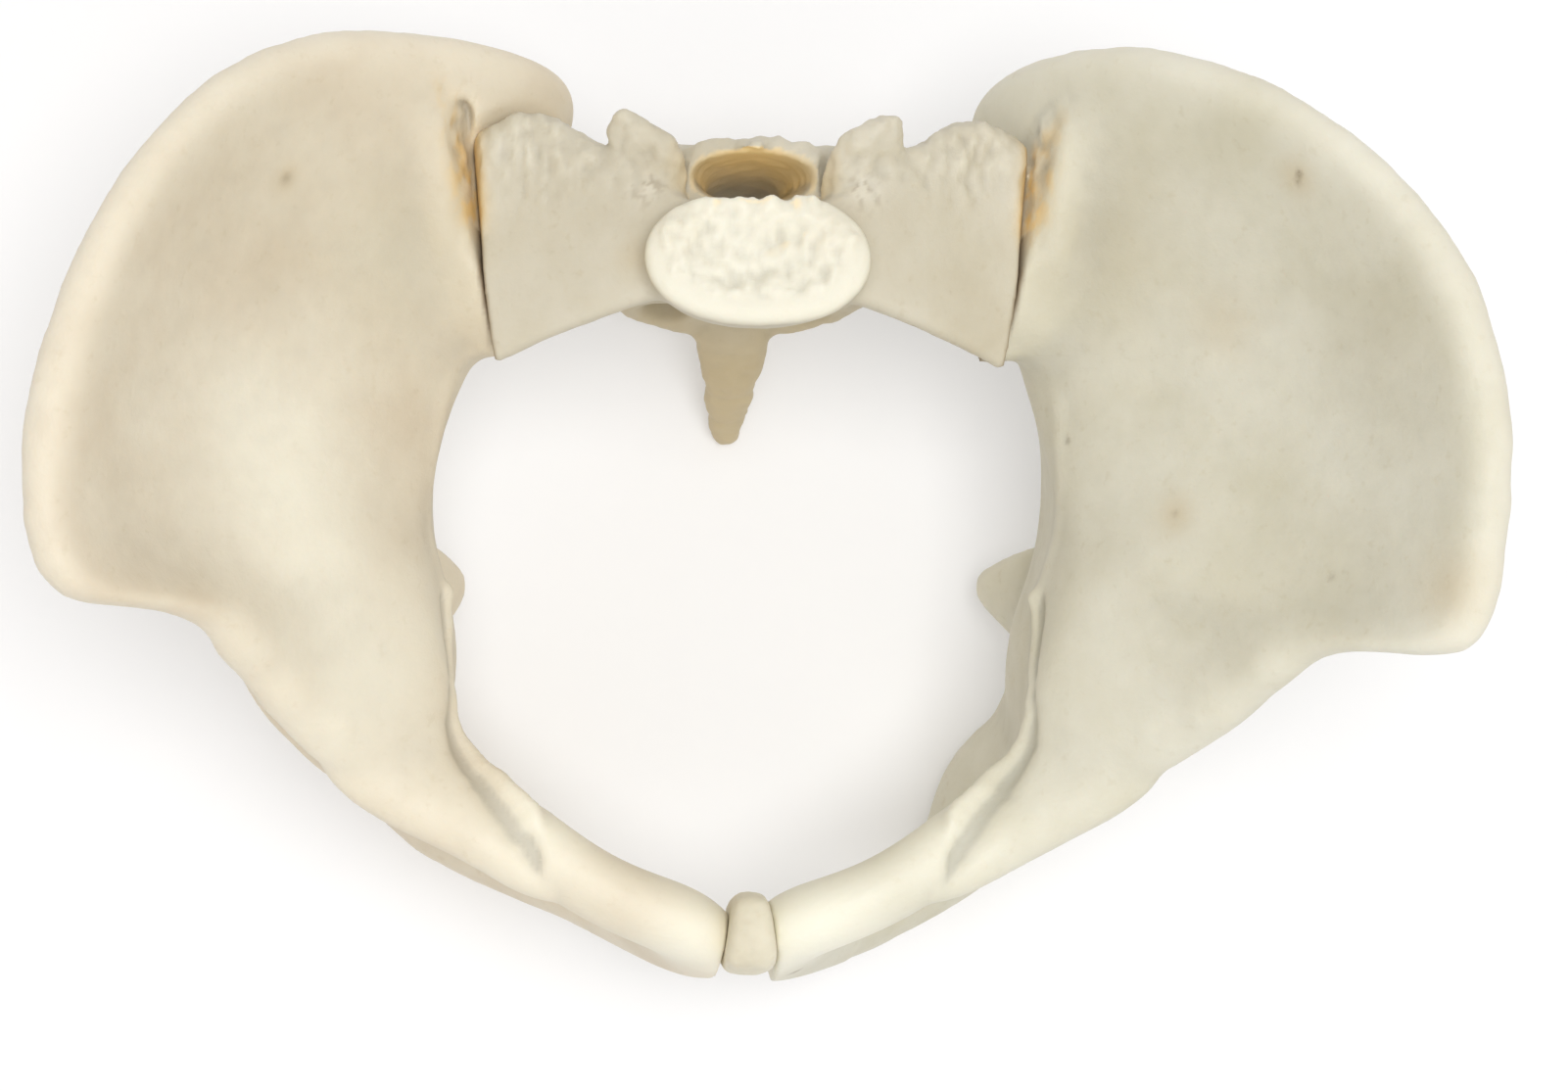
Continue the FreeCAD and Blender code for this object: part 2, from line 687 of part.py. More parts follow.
def pubic_disc():
    """The disc bulges a little over the bones round it."""
    rows = []
    for rise, grow in ((0.5, 0.7), (0.44, 0.9), (0.2, 1.0), (-0.15, 1.0), (-0.42, 0.9), (-0.5, 0.7)):
        rows.append((0, 0, rise * disc_height, 3 * disc_half_width_front, 0.5 * disc_depth * grow))
    disc = lump(rows, Vector(1, 0, 0), 12)
    disc.Placement = disc_place()
    return disc.common(disc_faces(0))


def joined():
    """All the pieces in the frame of the standing body."""
    block = side_joint_block(-joint_gap / 2)
    left = hip_bone({}).cut(block).cut(disc_faces(-joint_gap))
    right = mirrored(hip_bone(right_shift)).cut(block).cut(disc_faces(-joint_gap))
    middle_bone = sacrum().common(side_joint_block(joint_gap / 2))
    pieces = {"pubic_disc": pubic_disc()}
    for side, hand in (("left", 1), ("right", -1)):
        holes = side_joint_dowels(dowel_radius + dowel_clearance, dowel_length + 2 * dowel_clearance, hand)
        for hole in holes:
            middle_bone = middle_bone.cut(hole)
            if hand > 0:
                left = left.cut(hole)
            else:
                right = right.cut(hole)
        pieces["dowels_" + side] = Part.makeCompound(side_joint_dowels(dowel_radius, dowel_length, hand))
    pieces.update({"hip_bone_left": left, "hip_bone_right": right, "sacrum": middle_bone})
    return pieces


def main():
    os.makedirs("parts", exist_ok=True)
    pieces = joined()
    lean = FreeCAD.Placement(Vector(0, 0, 0), FreeCAD.Rotation(Vector(1, 0, 0), -lean_back_deg))
    for name, shape in pieces.items():
        pieces[name] = shape.copy()
        pieces[name].Placement = lean.multiply(shape.Placement)
    box = FreeCAD.BoundBox()
    for shape in pieces.values():
        box.add(shape.optimalBoundingBox(False, False))
    for name, shape in pieces.items():
        shape.translate(Vector(-box.Center.x, -box.Center.y, -box.ZMin))
        shape.exportStep(f"parts/{name}.step")


main()
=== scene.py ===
"""The pelvis skeleton model as it lies on a pale table, seen from above.

The bones start from the frame's solids. Their skin is remeshed finely, its creases are filled
into fillets, and then ridges, grooves, pits and rough patches are pressed into it. Places on the
bones are written in millimetres in the frame of a standing body (x to the left side of the body,
y to its back, z up), and stood() turns the points of the model as it lies into that frame.
"""

from math import cos, radians, sin

import bpy
import numpy as np
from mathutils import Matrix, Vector, noise

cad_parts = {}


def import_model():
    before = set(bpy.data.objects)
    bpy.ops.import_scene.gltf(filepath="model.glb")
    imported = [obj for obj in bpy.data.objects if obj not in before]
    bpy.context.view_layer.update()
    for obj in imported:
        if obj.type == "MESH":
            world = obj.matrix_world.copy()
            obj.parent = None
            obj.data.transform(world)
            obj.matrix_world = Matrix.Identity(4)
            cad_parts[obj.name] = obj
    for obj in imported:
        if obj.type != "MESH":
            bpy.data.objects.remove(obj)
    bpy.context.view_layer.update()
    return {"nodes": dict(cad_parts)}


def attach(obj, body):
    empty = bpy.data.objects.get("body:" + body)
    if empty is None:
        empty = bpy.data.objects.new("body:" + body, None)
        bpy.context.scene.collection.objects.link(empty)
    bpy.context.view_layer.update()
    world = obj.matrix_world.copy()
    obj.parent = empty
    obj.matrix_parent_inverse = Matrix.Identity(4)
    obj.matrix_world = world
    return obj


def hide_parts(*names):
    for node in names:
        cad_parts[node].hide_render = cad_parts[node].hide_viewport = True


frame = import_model()

MM = 0.001

# The pose of the model: how far it leans back, and where the landmarks' origin then lies
lean_back = radians(38)
origin_at = (-1.108, -74.700, 86.788)

# The photograph's camera: place, lens and sensor in millimetres, turn in degrees, and how far it
# sees in metres
camera_place = (-47.61, -34.10, 888.89)
camera_turn = (2.05, -3.87, 0.48)
camera_lens = 93.1
camera_sensor = 36
camera_reach = 20

# The table, in metres, and the light that it adds to what is seen of it
table_size = 6.0
table_lift = 0.12

# Lamps: place, width and power; all of them are turned to one place on the model
lamps = {
    "window": ((0.1, 0.0, 2.0), 0.8, 16),
    "fill": ((0.4, -1.2, 1.6), 1.4, 3),
}
lamp_aim = (0, 0, 0.06)
world_strength = 0.64

# Skins of the bones: cells of the remesh, and passes that smooth them or fill their creases
hip_voxel = 0.94
hip_passes = {"whole": 8, "creases": 110, "fan": 60, "rim": 220, "last": 10}
sacrum_voxel = 0.7
sacrum_passes = {"whole": 7, "creases": 22, "last": 4}
disc_voxel = 0.5
disc_passes = 45

# Beside a joint a skin stays as its solid is; it is free from the second distance on
joint_band = (0.4, 2.5)
disc_band = (6.5, 10)
disc_middle = 1.6

# The plane of the side joint: x at the origin, and its slope along y and z
joint_plane = (36.1, -0.05, 0.2535)

# Relief for the material's painted shade, darker in hollows: passes of the smooth skin that it is
# measured from, and full heights
relief_passes = 24
hip_relief = 0.34
sacrum_relief = 1.0
disc_relief = 0.8


def unlean(vectors):
    """Turn vectors of the model as it lies back into the frame of the standing body."""
    c, s = cos(lean_back), sin(lean_back)
    x, y, z = vectors.T
    return np.stack([x, y * c - z * s, y * s + z * c], 1)


def stood(points):
    """From the model as it lies back to the standing body, for an array of points."""
    return unlean(points - np.array(origin_at))


# Skins

class Skin:
    """A remeshed copy of a CAD node that can be smoothed and pressed, in millimetres."""

    def __init__(self, node, name, voxel):
        source = frame["nodes"][node]
        self.node = node
        self.piece = bpy.data.objects.new(name, source.data.copy())
        bpy.context.scene.collection.objects.link(self.piece)
        remesh = self.piece.modifiers.new("remesh", "REMESH")
        remesh.mode = "VOXEL"
        remesh.voxel_size = voxel * MM
        graph = bpy.context.evaluated_depsgraph_get()
        self.mesh = bpy.data.meshes.new_from_object(self.piece.evaluated_get(graph))
        self.mesh.name = name
        self.piece.modifiers.clear()
        self.piece.data = self.mesh
        self.points = self.read("vertices", "co", 3) / MM
        ends = np.zeros(len(self.mesh.edges) * 2, int)
        self.mesh.edges.foreach_get("vertices", ends)
        self.ends = ends.reshape(-1, 2)
        self.neighbours = np.bincount(ends, minlength=len(self.points))

    def read(self, what, key, width):
        things = getattr(self.mesh, what)
        values = np.zeros(len(things) * width, np.float32)
        things.foreach_get(key, values)
        return values.reshape(-1, width).astype(float)

    def mean_of_neighbours(self, values):
        total = np.zeros_like(values)
        a, b = self.ends.T
        for axis in range(values.shape[1]):
            total[:, axis] = np.bincount(a, values[b, axis], len(values))
            total[:, axis] += np.bincount(b, values[a, axis], len(values))
        return total / self.neighbours[:, None]

    def write(self):
        self.mesh.vertices.foreach_set("co", (self.points * MM).astype(np.float32).ravel())
        self.mesh.update()

    def normals(self):
        self.write()
        return self.read("vertices", "normal", 3)

    def smooth(self, passes, weight=1.0):
        weight = np.broadcast_to(weight, len(self.points))[:, None]
        for _ in range(passes):
            self.points += 0.5 * weight * (self.mean_of_neighbours(self.points) - self.points)

    def fill_creases(self, passes, weight, renewal=10):
        """Move only the points that lie in a hollow line, outwards, so that creases turn into
        fillets and ridges stay. The normals are renewed after so many passes."""
        for step in range(passes):
            if step % renewal == 0:
                normals = self.normals()
            move = self.mean_of_neighbours(self.points) - self.points
            rise = (move * normals).sum(1)
            self.points += (0.5 * weight * (rise > 0))[:, None] * move

    def press(self, height):
        """Move every point along its normal, by a height in millimetres."""
        self.points += self.normals() * height[:, None]

    def mark(self, name, values):
        """Keep a value from 0 to 1 on every point, for the material."""
        layer = self.mesh.attributes.new(name, "FLOAT", "POINT")
        layer.data.foreach_set("value", np.clip(values, 0, 1).astype(np.float32))

    def mark_relief(self, full):
        """Mark how far every point stands over the smoothed skin: 0.5 is level with it."""
        soft = self.points.copy()
        for _ in range(relief_passes):
            soft += 0.5 * (self.mean_of_neighbours(soft) - soft)
        over = ((self.points - soft) * self.normals()).sum(1)
        self.mark("relief", 0.5 + 0.5 * over / full)

    def finish(self, material, relief):
        """Put the piece in its node's place, with its material and its relief."""
        self.mark_relief(relief)
        self.write()
        self.mesh.polygons.foreach_set("use_smooth", [True] * len(self.mesh.polygons))
        self.mesh.materials.clear()
        self.mesh.materials.append(material)
        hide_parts(self.node)
        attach(self.piece, "root")


# Shares and heights over the points of a skin

def step_up(values, low, high):
    """0 below low, 1 above high, and a smooth step between."""
    share = np.clip((values - low) / (high - low), 0, 1)
    return share * share * (3 - 2 * share)


def step_down(values, low, high):
    """1 below low, 0 above high, and a smooth step between."""
    return step_up(-values, -high, -low)


def bell(values, width, middle=0):
    """1 at the middle, falling to 0 at about twice the width on either side."""
    return np.exp(-((values - middle) / width) ** 2)


def grain(points, size, seed, octaves=2):
    """Smooth noise from about -1 to 1 with features of that size in millimetres."""
    values = np.empty(len(points))
    scaled_points = points / size + seed * 17.3
    for index, place in enumerate(scaled_points):
        values[index] = noise.fractal(Vector(place), 1.0, 2.0, octaves)
    return values


def streaks(points, squeeze, size, seed):
    """Grain that is drawn out from front to back and from top to bottom."""
    return grain(points * np.array([1, squeeze, squeeze]), size, seed, 3)


def rough(points, share, height, size, seed):
    """Heights of rough bone, as high as that where the share is 1."""
    return share * height * grain(points, size, seed, 3)


def near(points, centre, radius):
    """1 at a centre, falling to 0 at about twice the radius."""
    return bell(np.linalg.norm(points - np.asarray(centre), axis=1), radius)


def patches(points, table):
    """Share of a point in several patches: place, radius and share of each."""
    return np.clip(sum(share * near(points, place, radius) for place, radius, share in table), 0, 1)


def to_line(points, line):
    """Distance of every point from a line of landmarks."""
    best = np.full(len(points), 1e9)
    line = np.asarray(line, float)
    for a, b in zip(line[:-1], line[1:]):
        along = b - a
        share = np.clip(((points - a) @ along) / (along @ along), 0, 1)
        best = np.minimum(best, np.linalg.norm(points - (a + share[:, None] * along), axis=1))
    return best


def on_way(line, steps=6):
    """A line of landmarks with places between them."""
    line = np.asarray(line, float)
    way = [a + (b - a) * k / steps for a, b in zip(line[:-1], line[1:]) for k in range(steps)]
    return way + [line[-1]]


def ridge(points, line, width):
    """1 on a line of landmarks laid onto the skin, falling to 0 beside it."""
    laid = [points[((points - place) ** 2).sum(1).argmin()] for place in on_way(line)]
    return bell(to_line(points, laid), width)


def facing(points, normals, line):
    """1 where a skin faces a line of landmarks, 0 where it is turned away from it."""
    best = np.full(len(points), 1e9)
    cosine = np.zeros(len(points))
    for place in on_way(line):
        away = place - points
        gap = np.linalg.norm(away, axis=1)
        closer = gap < best
        best[closer] = gap[closer]
        cosine[closer] = ((away * normals).sum(1) / np.maximum(gap, 1e-6))[closer]
    return step_up(cosine, 0.1, 0.5)


def joint_gap(points):
    """How far a point on the left side lies outside the plane of the side joint."""
    out, back, up = joint_plane
    return points[:, 0] - (out + back * points[:, 1] + up * points[:, 2])


# Places on a left hip bone; the right one has them mirrored
crest_line = [
    (130, -8, 87), (133.5, 6, 99), (136, 31, 119), (125, 62, 132), (106, 84, 135),
    (89, 103, 130), (71, 119, 120), (58, 129, 106), (50, 138, 89),
]
pecten_line = [
    (24, -4.5, 5), (31, -0.5, 9), (36, 4, 11.1), (42, 12, 13), (48, 20, 14.5), (54, 31, 17),
    (58, 43, 21), (60.5, 54, 28),
]
brim_line = [(60.5, 54, 28), (61, 60, 40), (58, 68, 53), (51, 77, 68)]
lip_line = [(54, 96, 87), (54, 108, 95), (56, 117, 103)]
hub = (72.5, 51.5, 43)
joint_boss = (66, 100, 74)
socket_centre = (82.5, 45, 2.5)
seat_bone = (60, 62, -50)
pubic_corner = (10, -6, -10)
behind_joint = (54, 118, 96)

# Sharp lines on a hip bone: landmarks, height, width; the groove lies beside the pecten
sharp_lines = [
    (pecten_line, 2.0, 1.9),
    (np.array(pecten_line) + (4, -3, -1), -1.5, 2.8),
    (brim_line, 0.5, 2.5),
]

# Knobs and hollows on a hip bone: place, radius and height
knobs = [
    ((97, 13, 57), 6.5, 1.5), ((89, 13, 43), 6.5, 1.2), ((80, 16, 33), 5, 0.5),
    ((26, -6, 3), 4, 1.6), ((12, -8, -11), 3.5, 1.8), ((19, -8, -5), 3.5, -1.4),
    ((6, -7, -16), 3.2, 1.6), ((9, -4, -1), 3.5, 1.0),
]

# Small pits, stains, and patches of painted light and painted shade on each hip bone: place, radius
# and share
spots = {
    "hip_bone_left": {
        "speck": [
            ((100.7, 79.1, 124.7), 0.7, 0.9), ((100.5, 78.4, 123.2), 0.7, 0.9),
            ((63.9, 71.3, 57.2), 0.7, 0.6), ((82.1, 46.3, 64.2), 0.7, 0.3),
            ((108, 21.3, 75.5), 0.7, 0.4), ((11.8, -0.5, -25.1), 1.2, 0.9),
        ],
        "stain": [
            ((124.5, 3.7, 94.2), 7, 1), ((100.7, 79.1, 123.7), 4, 1), ((82.1, 46.3, 64.2), 4, 1),
            ((88, 70, 92), 7, 1),
        ],
        # painted light: lighter patches on the pubis, the ramus and the lower fossa
        "painted_light": [((12, -6, -4), 18, 1.0), ((40, 8, 10), 14, 0.5), ((72, 24, 34), 16, 0.25)],
        # painted shade: darker patches at the back beside the side joint and on the wing
        "painted_shade": [((66, 95, 92), 20, 0.9), ((120, 50, 112), 14, 0.3)],
    },
    "hip_bone_right": {
        "speck": [((89.7, 87.6, 110.7), 1.2, 0.35)],
        "stain": [((89.7, 87.6, 110.7), 3, 1)],
        # painted light: lighter patches on the pubis, the ramus and the fossa
        "painted_light": [
            ((10, -6, -6), 14, 1.0), ((38, 8, 10), 14, 0.6), ((72, 22, 34), 18, 0.6),
            ((97, 50, 78), 22, 0.6), ((84, 34, 58), 18, 0.5),
        ],
        # painted shade: darker patches at the back beside the side joint and on the wing
        "painted_shade": [((66, 92, 88), 22, 0.9), ((100, 84, 120), 22, 0.3)],
    },
}
speck_depth = 0.4

# Along the side joint: width of the painted orange glow of the crevice and its middle on a hip
# bone, and of the painted shade of the crack
hip_seam = 2.2
hip_seam_middle = 0.8
sacrum_seam = 2.5
crack_width = 0.7


def hip_height(here, crest, specks, seed):
    """Heights of all that stands on a hip bone or is pressed into it."""
    height = 0.3 * grain(here, 22, seed) + 0.05 * grain(here, 3.5, seed + 1)
    height += crest * (0.3 * grain(here, 7, seed + 2, 3) + 0.15)
    height += rough(here, near(here, seat_bone, 13), 0.5, 4.5, seed + 3)
    for line, rise, width in sharp_lines:
        height += rise * ridge(here, line, width)
    height += rough(here, near(here, pubic_corner, 11), 1.1, 5.5, seed + 7)
    lip = ridge(here, lip_line, 4) * step_up(joint_gap(here), 0.5, 2)
    height += lip * (0.4 + 0.7 * grain(here, 2.4, seed + 5, 3))
    knobbed = np.zeros(len(here))
    for place, radius, rise in knobs:
        share = near(here, place, radius)
        height += rise * share
        knobbed += share
    height += rough(here, knobbed, 0.3, 5, seed + 6)
    height -= speck_depth * specks
    height += rough(here, near(here, behind_joint, 14), 0.7, 4, seed + 4)
    return height


def hip_bone(node, name, hand, seed, material):
    """A hip bone; hand is 1 for the left one and -1 for the right one."""
    skin = Skin(node, name, hip_voxel)
    mirror = np.array([hand, 1, 1])
    here = stood(skin.points) * mirror
    from_disc = np.abs(here[:, 0] - disc_middle * hand)
    free = np.minimum(step_up(joint_gap(here), *joint_band), step_up(from_disc, *disc_band))
    skin.smooth(hip_passes["whole"], free)
    skin.fill_creases(hip_passes["creases"], free)
    fan = np.maximum(near(here, hub, 16), near(here, joint_boss, 12))
    skin.smooth(hip_passes["fan"], free * fan)
    rim = np.clip(1.4 * ridge(here, crest_line, 16), 0, 1)
    skin.fill_creases(hip_passes["rim"], free * rim)
    skin.smooth(hip_passes["last"], free)

    here = stood(skin.points) * mirror
    crest = ridge(here, crest_line, 5)
    marks = {mark: patches(here, table) for mark, table in spots[node].items()}
    skin.press(hip_height(here, crest, marks["speck"], seed) * free)
    skin.smooth(1)

    gap, y, z = joint_gap(here), here[:, 1], here[:, 2]
    rear = step_up(y, 93, 99) * step_down(y, 110, 116) * step_up(z, 80, 86)
    broken = 0.3 + 0.7 * step_up(streaks(here, 0.5, 2.2, seed + 8), -0.15, 0.35)
    # painted highlight: lighter along the crest
    marks["crest"] = crest
    # painted glow: warm orange light bounced in the crevice of the side joint, at its upper back,
    # in broken streaks
    marks["seam"] = bell(gap, hip_seam, hip_seam_middle) * rear * broken
    # painted shade: a dark line along the crevice of the side joint
    marks["crack_shade"] = bell(gap, crack_width) * (y > 60) * (y < 98)
    marks["hollow"] = near(here, socket_centre, 14)
    for mark, values in marks.items():
        skin.mark(mark, values)
    skin.finish(material, hip_relief)


# Places on the sacrum; those beside the middle are on its left half and count for both
endplate_middle = (0, 76, 103.6)
endplate_up = (0, -0.5, 0.866)
endplate_back = (0, 0.866, 0.5)
endplate_shift = 2.5
endplate_half_width = 22
endplate_half_depth = 13.5
wing_rough = (43, 106.5, 102.5)
root_pits = (21, 94.5, 103)
shoulder = (38, 94, 95)
plate_corner = (16, 84, 102)
plate_stain = (-23, 82.7, 95.2)
canal_line = [(0, 90, 110), (0, 99, 99), (0, 108, 86), (0, 114, 74)]

# Heights of the grooves between the bones of the tail, and how deep and wide they are
tail_grooves = (27, 12, 2)
groove_depth = 0.3
groove_width = 1.1


def folded(points):
    """Points of the sacrum with the right half laid onto the left one."""
    sides = points.copy()
    sides[:, 0] = np.abs(sides[:, 0])
    return sides


def endplate(here):
    """Share of the upper end, share of its raised rim, and distance from its middle (1 is the
    outline)."""
    x, y = here[:, 0], here[:, 1]
    offset = here - np.array(endplate_middle)
    plate = step_up(offset @ np.array(endplate_up), -5, -1) * (np.abs(x) < 24) * (y < 90)
    along = offset @ np.array(endplate_back) - endplate_shift
    from_middle = np.hypot(x / endplate_half_width, along / endplate_half_depth)
    raised = plate * step_down(from_middle - 0.12 * grain(here, 4, 41, 3), 0.76, 0.86)
    return plate, raised, from_middle


def sacrum(material):
    """The sacrum with the tail bone."""
    skin = Skin("sacrum", "sacrum_bone", sacrum_voxel)
    free = step_up(-joint_gap(folded(stood(skin.points))), *joint_band)
    skin.smooth(sacrum_passes["whole"], free)
    skin.fill_creases(sacrum_passes["creases"], free)
    skin.smooth(sacrum_passes["last"], free)

    here = stood(skin.points)
    sides = folded(here)
    gap = joint_gap(sides)
    x, y, z = here.T
    plate, raised, from_middle = endplate(here)
    wing = near(sides, wing_rough, 9)
    root = near(sides, root_pits, 3.6)
    height = 0.18 * grain(here, 12, 31) + 0.08 * grain(here, 3, 32)
    coarse = streaks(here, 0.6, 1.7, 34)
    height += raised * (0.6 + 0.7 * grain(here, 4.5, 33, 4) + 0.8 * coarse)
    height -= raised * 0.5 * step_down(from_middle, 0.2, 0.6)
    edge = step_up(gap, -5, -2) * step_up(y, 90, 98)
    height += rough(here, edge, 0.7, 3, 42)
    height += rough(here, root, 1.1, 2.4, 38)
    upper_back = step_up(y, 94, 99) * step_up(z, 96, 100) * (sides[:, 0] < 34)
    height += rough(here, upper_back, 0.8, 3.6, 39)
    tufts = streaks(here, 0.45, 2.4, 35)
    height += wing * 1.5 * tufts
    lower_back = step_up(y, 104, 112) * step_down(z, 92, 100)
    height += rough(here, lower_back, 0.5, 5, 36)
    for level in tail_grooves:
        height -= groove_depth * bell(z, groove_width, level) * (np.abs(x) < 12) * (y > 115)
    skin.press(height * free)
    skin.smooth(1)

    # The canal's inner wall: skin near the canal that faces it and looks to the front; it gets the
    # lightened orange and the painted glow
    turned = unlean(skin.normals())
    inner = bell(to_line(here, canal_line), 10) * facing(here, turned, canal_line)
    inner *= step_down(turned[:, 1], -0.2, 0.3)
    marks = {
        # painted highlight: lighter on the raised rim of the upper end, on its face and around the
        # pits beside it
        "crest": 1.5 * np.maximum(np.maximum(raised, 0.5 * plate), 0.6 * root),
        # painted light: lighter on the raised tufts of the wings and on the upper end
        "painted_light": 0.25 * wing * step_up(tufts, 0.05, 0.4) + 0.75 * plate,
        # painted shade: darker in the low spots of the upper end's rough rim and on the left
        # shoulder
        "painted_shade": (0.15 * raised * step_down(coarse, -0.35, 0.0)
                 + 0.4 * near(sides, shoulder, 14) * (x > 0)),
        "stain": 0.6 * near(here, plate_stain, 4) + 0.5 * near(sides, plate_corner, 6),
        # painted glow: warm orange light bounced in the crevice of the side joint, at its upper
        # back
        "seam": bell(gap, sacrum_seam) * step_up(y, 93, 99) * (z > 80),
        # painted shade: a dark line along the crevice of the side joint
        "crack_shade": bell(gap, crack_width) * (z > 60),
        "speck": 0.55 * root * step_up(grain(here, 1.6, 40, 3), 0.1, 0.4),
        # painted shade: browner and darker towards the tip of the tail, deep in the ring
        "tail": step_down(z, 20, 48),
        "hollow": inner,
    }
    for mark, values in marks.items():
        skin.mark(mark, values)
    skin.finish(material, sacrum_relief)


def disc(material):
    """The disc between the pubic bones, which bulges a little all round."""
    skin = Skin("pubic_disc", "joint_disc", disc_voxel)
    skin.smooth(disc_passes)
    outer = 1 - np.abs(skin.normals()[:, 0])
    skin.press(0.2 + 1.1 * outer + rough(stood(skin.points), outer, 0.35, 4, 51))
    skin.finish(material, disc_relief)


# Materials

# Colour of every mark on the bones, and its share where the mark is 1; each lies over the last
mark_colours = {
    # painted highlight on crests and rims
    "crest": ("F8F2E2", 0.32),
    # painted light
    "painted_light": ("FFFBE8", 0.85),
    # painted shade
    "painted_shade": ("C8BEA2", 0.6),
    # painted shade, browner towards the tail
    "tail": ("CDB98E", 0.75),
    "stain": ("CDB890", 0.45),
    # painted glow of light bounced in the joint's crevice
    "seam": ("F0C878", 0.8),
    "hollow": ("DCC49A", 0.95),
    "speck": ("8E7A5C", 0.8),
    # painted shade in the joint's crevice
    "crack_shade": ("7A5F3C", 0.8),
}

# The canal of the sacrum: the orange of its inner wall, lightened as painted light, and the painted
# glow that stands in for the light coming through it
canal_colour = "FFE0A0"
canal_light = "F4CC7C"
canal_glow = 0.5


def linear(hex_colour):
    """A colour as it is written to the linear values of a shader."""
    values = [int(hex_colour[i:i + 2], 16) / 255 for i in (0, 2, 4)]
    return tuple(v / 12.92 if v <= 0.04045 else ((v + 0.055) / 1.055) ** 2.4 for v in values)


def grey(value):
    return (value,) * 3


def new_material(name):
    material = bpy.data.materials.new(name)
    material.use_nodes = True
    nodes, links = material.node_tree.nodes, material.node_tree.links
    return material, nodes, links, nodes["Principled BSDF"]


def noise_node(nodes, links, scale, detail):
    where = nodes.new("ShaderNodeTexCoord")
    texture = nodes.new("ShaderNodeTexNoise")
    texture.inputs["Scale"].default_value = scale
    texture.inputs["Detail"].default_value = detail
    texture.inputs["Roughness"].default_value = 0.55
    links.new(where.outputs["Object"], texture.inputs["Vector"])
    return texture.outputs["Fac"]


def ramp(nodes, links, value, stops):
    node = nodes.new("ShaderNodeValToRGB")
    elements = node.color_ramp.elements
    while len(elements) < len(stops):
        elements.new(0.5)
    for element, (place, colour) in zip(elements, stops):
        element.position = place
        element.color = (*colour, 1)
    links.new(value, node.inputs["Fac"])
    return node.outputs["Color"]


def noise_ramp(nodes, links, scale, detail, stops):
    return ramp(nodes, links, noise_node(nodes, links, scale, detail), stops)


def times(nodes, links, value, factor):
    """A socket's value times a fixed factor."""
    node = nodes.new("ShaderNodeMath")
    node.operation = "MULTIPLY"
    node.inputs[1].default_value = factor
    links.new(value, node.inputs[0])
    return node.outputs[0]


def colour_sockets(sockets):
    """The colour sockets of a mix node, among those of other types with the same names."""
    return [socket for socket in sockets if socket.type == "RGBA"]


def tint(nodes, links, colour, share, over):
    """Lay a fixed colour over the colour of a socket, by the share of another socket."""
    node = nodes.new("ShaderNodeMix")
    node.data_type = "RGBA"
    links.new(share, node.inputs["Factor"])
    below, above = colour_sockets(node.inputs)
    links.new(colour, below)
    above.default_value = (*over, 1)
    return colour_sockets(node.outputs)[0]


def darken(nodes, links, colour, shade, share):
    """Multiply the colours of two sockets, by a fixed share."""
    node = nodes.new("ShaderNodeMix")
    node.data_type = "RGBA"
    node.blend_type = "MULTIPLY"
    node.inputs["Factor"].default_value = share
    for source, target in zip((colour, shade), colour_sockets(node.inputs)):
        links.new(source, target)
    return colour_sockets(node.outputs)[0]


def mark_value(nodes, name):
    """The socket of a mark, which is 0 on a skin that hasn't that mark."""
    node = nodes.new("ShaderNodeAttribute")
    node.attribute_name = name
    return node.outputs["Fac"]


def bone_material(name, tones, shift=0, hollow=None, glow=0.0):
    """Cast resin in the colours of old bone: mottled from a light to a dark tone, with stains,
    painted highlights on the crests, patches of painted light and shade, a painted orange glow and
    a painted shadow in the joints' crevices, browner painted shade towards the tail, painted shade
    in the hollows of the relief, and a painted glow in the canal."""
    material, nodes, links, shader = new_material(name)
    light, mid, dark = map(linear, tones)
    mottle = noise_ramp(nodes, links, 34 + shift, 5, [(0.3, dark), (0.52, mid), (0.72, light)])
    dots = [(0.25, linear("E4DCC8")), (0.4, linear("FFFFFF"))]
    colour = darken(nodes, links, mottle, noise_ramp(nodes, links, 420, 3, dots), 0.25)
    for mark, (over, strength) in mark_colours.items():
        if mark == "hollow" and hollow:
            over = hollow
        share = times(nodes, links, mark_value(nodes, mark), strength)
        colour = tint(nodes, links, colour, share, linear(over))
    # Painted shade: darker where the skin lies below its smoothed skin, in pits, grooves and
    # creases, and a little lighter on raised places
    depth = [(0.0, grey(0.7)), (0.5, grey(0.93)), (1.0, grey(1.0))]
    shade = ramp(nodes, links, mark_value(nodes, "relief"), depth)
    links.new(darken(nodes, links, colour, shade, 1.0), shader.inputs["Base Color"])
    # Painted glow: the canal's wall gives off light of its own
    if glow:
        lit = times(nodes, links, mark_value(nodes, "hollow"), glow)
        links.new(lit, shader.inputs["Emission Strength"])
        shader.inputs["Emission Color"].default_value = (*linear(canal_light), 1)
    sheen = noise_ramp(nodes, links, 90, 3, [(0.3, grey(0.5)), (0.7, grey(0.66))])
    links.new(sheen, shader.inputs["Roughness"])
    shader.inputs["Subsurface Weight"].default_value = 0.12
    shader.inputs["Subsurface Scale"].default_value = 0.004
    shader.inputs["Subsurface Radius"].default_value = (1.0, 0.75, 0.5)
    bump = nodes.new("ShaderNodeBump")
    bump.inputs["Strength"].default_value = 0.25
    bump.inputs["Distance"].default_value = 0.0004
    links.new(noise_node(nodes, links, 900, 4), bump.inputs["Height"])
    links.new(bump.outputs["Normal"], shader.inputs["Normal"])
    return material


